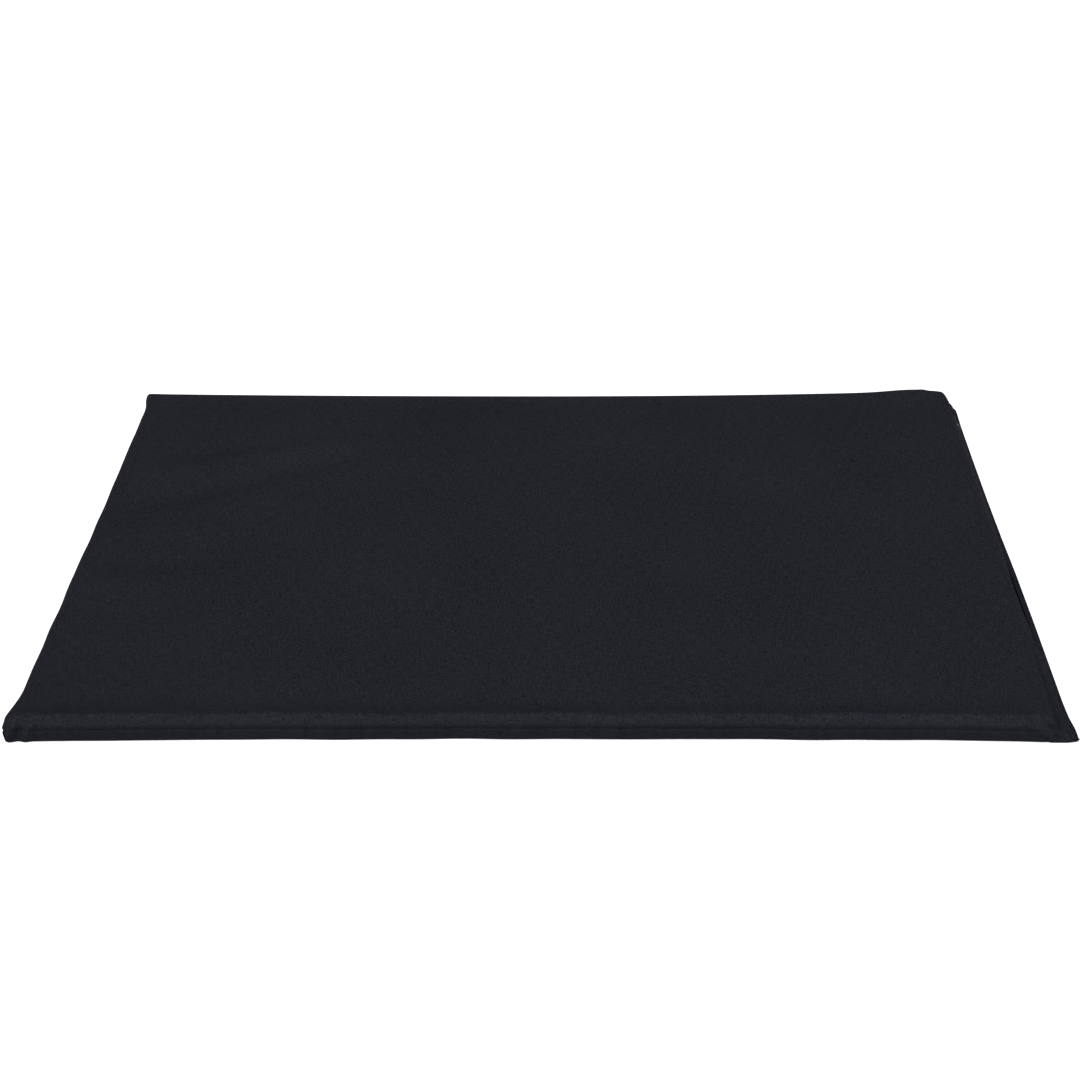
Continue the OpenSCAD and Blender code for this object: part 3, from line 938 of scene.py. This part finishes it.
def bar_tack(name, y, node):
    """A dense zigzag of thread across the hem."""
    x1 = hem_x(np.array([y]))[0] - TACK_INSET
    x0 = x1 - TACK_LENGTH
    parts = Parts()
    for k in range(11):
        x = x0 + (x1 - x0) * k / 10
        lean = 0.12 if k % 2 else -0.12
        z = surface_z(x, y)
        parts.add(*stitch((x - lean, y - 0.85, z), (x + lean, y + 0.85, z), (0, 0, 1), 0.14, 0.26))
    for side in (-1, 1):
        z = surface_z((x0 + x1) / 2, y)
        parts.add(*stitch((x0, y + side * 0.35, z), (x1, y + side * 0.35, z), (0, 0, 1), 0.14, 0.2))
    obj = parts.make(name, "cover", THREAD)
    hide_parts(node)


bar_tack("front_tack", (front_tack_low[1] + front_tack_high[1]) / 2, "front_bar_tack")
bar_tack("back_tack", (back_tack_low[1] + back_tack_high[1]) / 2, "back_bar_tack")


# -------- the zip
TAPE_T = tape_high[2] - tape_low[2]
TAPE_Z = tape_high[2]


def ribbon(name, section, y_lines):
    """A closed woven tape: an (x, z) section of its top face, drawn along Y."""
    section = np.asarray(section, float)
    t = np.gradient(section, axis=0)
    t /= np.linalg.norm(t, axis=1, keepdims=True)
    normal = np.stack([-t[:, 1], t[:, 0]], -1)
    far = np.concatenate([[0], np.cumsum(np.linalg.norm(np.diff(section, axis=0), axis=1))])
    n, m = len(section), len(y_lines)
    rings = []
    for side in (0, 1):
        pts = section - normal * TAPE_T * side
        run = np.repeat(np.asarray(y_lines)[None], n, 0)
        grid = np.stack([np.repeat(pts[:, :1], m, 1), run, np.repeat(pts[:, 1:], m, 1)], -1)
        grid[..., 2] += 0.03 * np.sin(grid[..., 1] * 2.1) * (1 - 2 * side) * 0.5
        rings.append(grid)
    idx = np.arange(n * m).reshape(n, m)
    a, b, c, d = idx[:-1, :-1], idx[1:, :-1], idx[1:, 1:], idx[:-1, 1:]
    top_q = np.stack([a, b, c, d], -1).reshape(-1, 4)
    faces = [top_q, top_q[:, ::-1] + n * m]
    loop = np.concatenate([idx[:, 0], idx[-1, 1:], idx[-2::-1, -1], idx[0, -2:0:-1]])
    nxt = np.roll(loop, -1)
    faces.append(np.stack([nxt, loop, loop + n * m, nxt + n * m], -1))
    run = np.repeat(np.asarray(y_lines)[None], n, 0)
    uv = np.stack([np.repeat(far[:, None], m, 1), run], -1).reshape(-1, 2)
    verts = np.concatenate([rings[0].reshape(-1, 3), rings[1].reshape(-1, 3)])
    return make(name, verts, np.concatenate(faces), None, np.concatenate([uv, uv]), None, TAPE)


UPPER_X0, UPPER_X1 = upper_tape_low[0], upper_tape_high[0]
UPPER_TOP = upper_tape_high[2]
UPPER_Y0, UPPER_Y1 = upper_tape_low[1], upper_tape_high[1]


def upper_section():
    down = [(UPPER_X0 + TAPE_T, z) for z in np.linspace(UPPER_TOP, TAPE_Z + TAPE_BEND, 10)]
    turn = [(UPPER_X0 + TAPE_T + TAPE_BEND * (1 - math.cos(a)), TAPE_Z + TAPE_BEND * (1 - math.sin(a)))
            for a in np.radians([18, 36, 54, 72, 90])]
    flat = [(x, TAPE_Z) for x in np.linspace(UPPER_X0 + TAPE_T + TAPE_BEND + 0.4, UPPER_X1, 6)]
    return down + turn + flat


def y_steps(y0, y1):
    return np.linspace(y0, y1, max(2, int(y1 - y0)) + 1)


tape_front = ribbon("upper_tape_front", upper_section(), y_steps(UPPER_Y0, TAPE_SPLIT))
tape_back = ribbon("upper_tape_back", upper_section(), y_steps(TAPE_SPLIT, UPPER_Y1))
lower_outer = tape_high[0] - 2.0
lower_tape = ribbon(
    "lower_tape",
    [(x, TAPE_Z) for x in np.linspace(tape_low[0], lower_outer, 12)],
    y_steps(tape_low[1], tape_high[1]),
)
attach(lower_tape, "cover")
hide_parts("lower_zip_tape")


def coil(name, side, y0, y1, phase):
    """One row of the zip's coil: side is -1 for the upper tape's. Its heads reach just past the middle."""
    box_lo, box_hi = (upper_low, upper_high) if side < 0 else (lower_low, lower_high)
    outer = box_lo[0] + WIRE if side < 0 else box_hi[0] - WIRE
    head = CHAIN_X - side * 0.42
    middle, half = (outer + head) / 2, abs(outer - head) / 2
    z_mid, z_half = (box_lo[2] + box_hi[2]) / 2, (box_hi[2] - box_lo[2]) / 2 - WIRE
    turns = (y1 - y0) / PITCH
    angle = np.arange(0, math.tau * turns, math.tau / 12)
    x = middle - side * half * np.sign(np.cos(angle)) * np.abs(np.cos(angle)) ** 0.85
    z = z_mid + z_half * np.sign(np.sin(angle)) * np.abs(np.sin(angle)) ** 0.8
    y = y0 + PITCH * angle / math.tau + phase
    verts, faces = tube(np.stack([x, y, z], -1), WIRE, 6, (0, 1.0, 0))
    return make(name, verts, faces, None, None, None, NYLON)


COIL_Y0, COIL_Y1 = lower_low[1] + WIRE, lower_high[1] - WIRE - PITCH / 2
COIL_SPLIT = COIL_Y0 + PITCH * round((TAPE_SPLIT - COIL_Y0) / PITCH)
coil_front = coil("upper_coil_front", -1, COIL_Y0, COIL_SPLIT, 0)
coil_back = coil("upper_coil_back", -1, COIL_SPLIT, COIL_Y1, 0)
lower_coil = coil("lower_coil", 1, COIL_Y0, COIL_Y1, PITCH / 2)
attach(lower_coil, "cover")
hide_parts("lower_zip_coil")


for obj in (tape_front, coil_front):
    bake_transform(obj)
for obj in (tape_back, coil_back):
    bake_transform(obj)
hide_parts("upper_zip_tape")
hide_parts("upper_zip_coil")


def stitches_on_tape(name, body, x, y_from, y_to, z):
    """A straight run of stitches along Y."""
    line = np.stack([np.full(60, x), np.linspace(y_from, y_to, 60), np.full(60, z)], -1)
    up = np.tile([0, 0, 1.0], (60, 1))
    return stitches_along(line, up, STITCH_PITCH, STITCH_GAP).make(name, body, THREAD)


STITCH_X = UPPER_X0 + TAPE_T / 2
lap_stitches = stitches_on_tape(
    "lap_stitches_front", None, STITCH_X, UPPER_Y0 + 1, LAP_SPLIT, UPPER_TOP + 0.1)
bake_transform(lap_stitches)
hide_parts("lap_stitching")
lap_stitches_back = stitches_on_tape(
    "lap_stitches_back", None, STITCH_X, LAP_SPLIT, lap_high[1] - 1, UPPER_TOP + 0.1)
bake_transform(lap_stitches_back)
tape_stitches = stitches_on_tape(
    "tape_stitches", "cover", lower_outer - 0.9, tape_low[1] + 1, tape_high[1] - 1, TAPE_Z)
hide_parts("lower_tape_stitching")


# -------- the metal parts: CAD shapes, eased edges
METAL_NODES = ("zip_slider", "zip_pull_tab", "pull_tab_pin",
               "zip_bottom_stop", "upper_top_stop", "lower_top_stop")
for node in METAL_NODES:
    obj = frame["nodes"][node]
    obj.data.materials.clear()
    obj.data.materials.append(METAL)
    ease = obj.modifiers.new("eased edges", "BEVEL")
    ease.width = 0.00012
    ease.segments = 2
    ease.limit_method = "ANGLE"
    ease.angle_limit = math.radians(35)
    ease.harden_normals = True


# -------- floor, light, camera
floor_mesh = bpy.data.meshes.new("floor")
floor_corners = [(-6, -6, -0.0001), (6, -6, -0.0001), (6, 10, -0.0001), (-6, 10, -0.0001)]
floor_mesh.from_pydata(floor_corners, [], [(0, 1, 2, 3)])
floor = bpy.data.objects.new("floor", floor_mesh)
bpy.context.scene.collection.objects.link(floor)
paper, _, _, paper_shader = material("white_paper")
paper_shader.inputs["Base Color"].default_value = (0.62, 0.62, 0.62, 1)
paper_shader.inputs["Roughness"].default_value = 0.95
paper_shader.inputs["Specular IOR Level"].default_value = 0.1
floor_mesh.materials.append(paper)

world = bpy.data.worlds.new("studio")
world.use_nodes = True
world.node_tree.nodes["Background"].inputs["Color"].default_value = (1, 1, 1, 1)
world.node_tree.nodes["Background"].inputs["Strength"].default_value = 0.25
bpy.context.scene.world = world

sun_data = bpy.data.lights.new("key", "SUN")
sun_data.energy = 7.4
sun_data.angle = math.radians(40)
sun = bpy.data.objects.new("key", sun_data)
bpy.context.scene.collection.objects.link(sun)
sun.rotation_euler = (math.radians(37), 0, math.radians(-8))

camera_data = bpy.data.cameras.new("camera")
camera_data.sensor_width = 36
camera_data.lens = 56.7
camera_data.shift_x = -0.0561
camera_data.clip_start = 0.01
camera_data.dof.use_dof = False
camera = bpy.data.objects.new("camera", camera_data)
bpy.context.scene.collection.objects.link(camera)
camera.location = (0.0317, -0.6842, 0.4783)
LOOKS_DOWN = 34.53  # degrees below level
camera.rotation_euler = (math.radians(90 - LOOKS_DOWN), 0, 0)
bpy.context.scene.camera = camera
bpy.context.scene.view_settings.view_transform = "Standard"
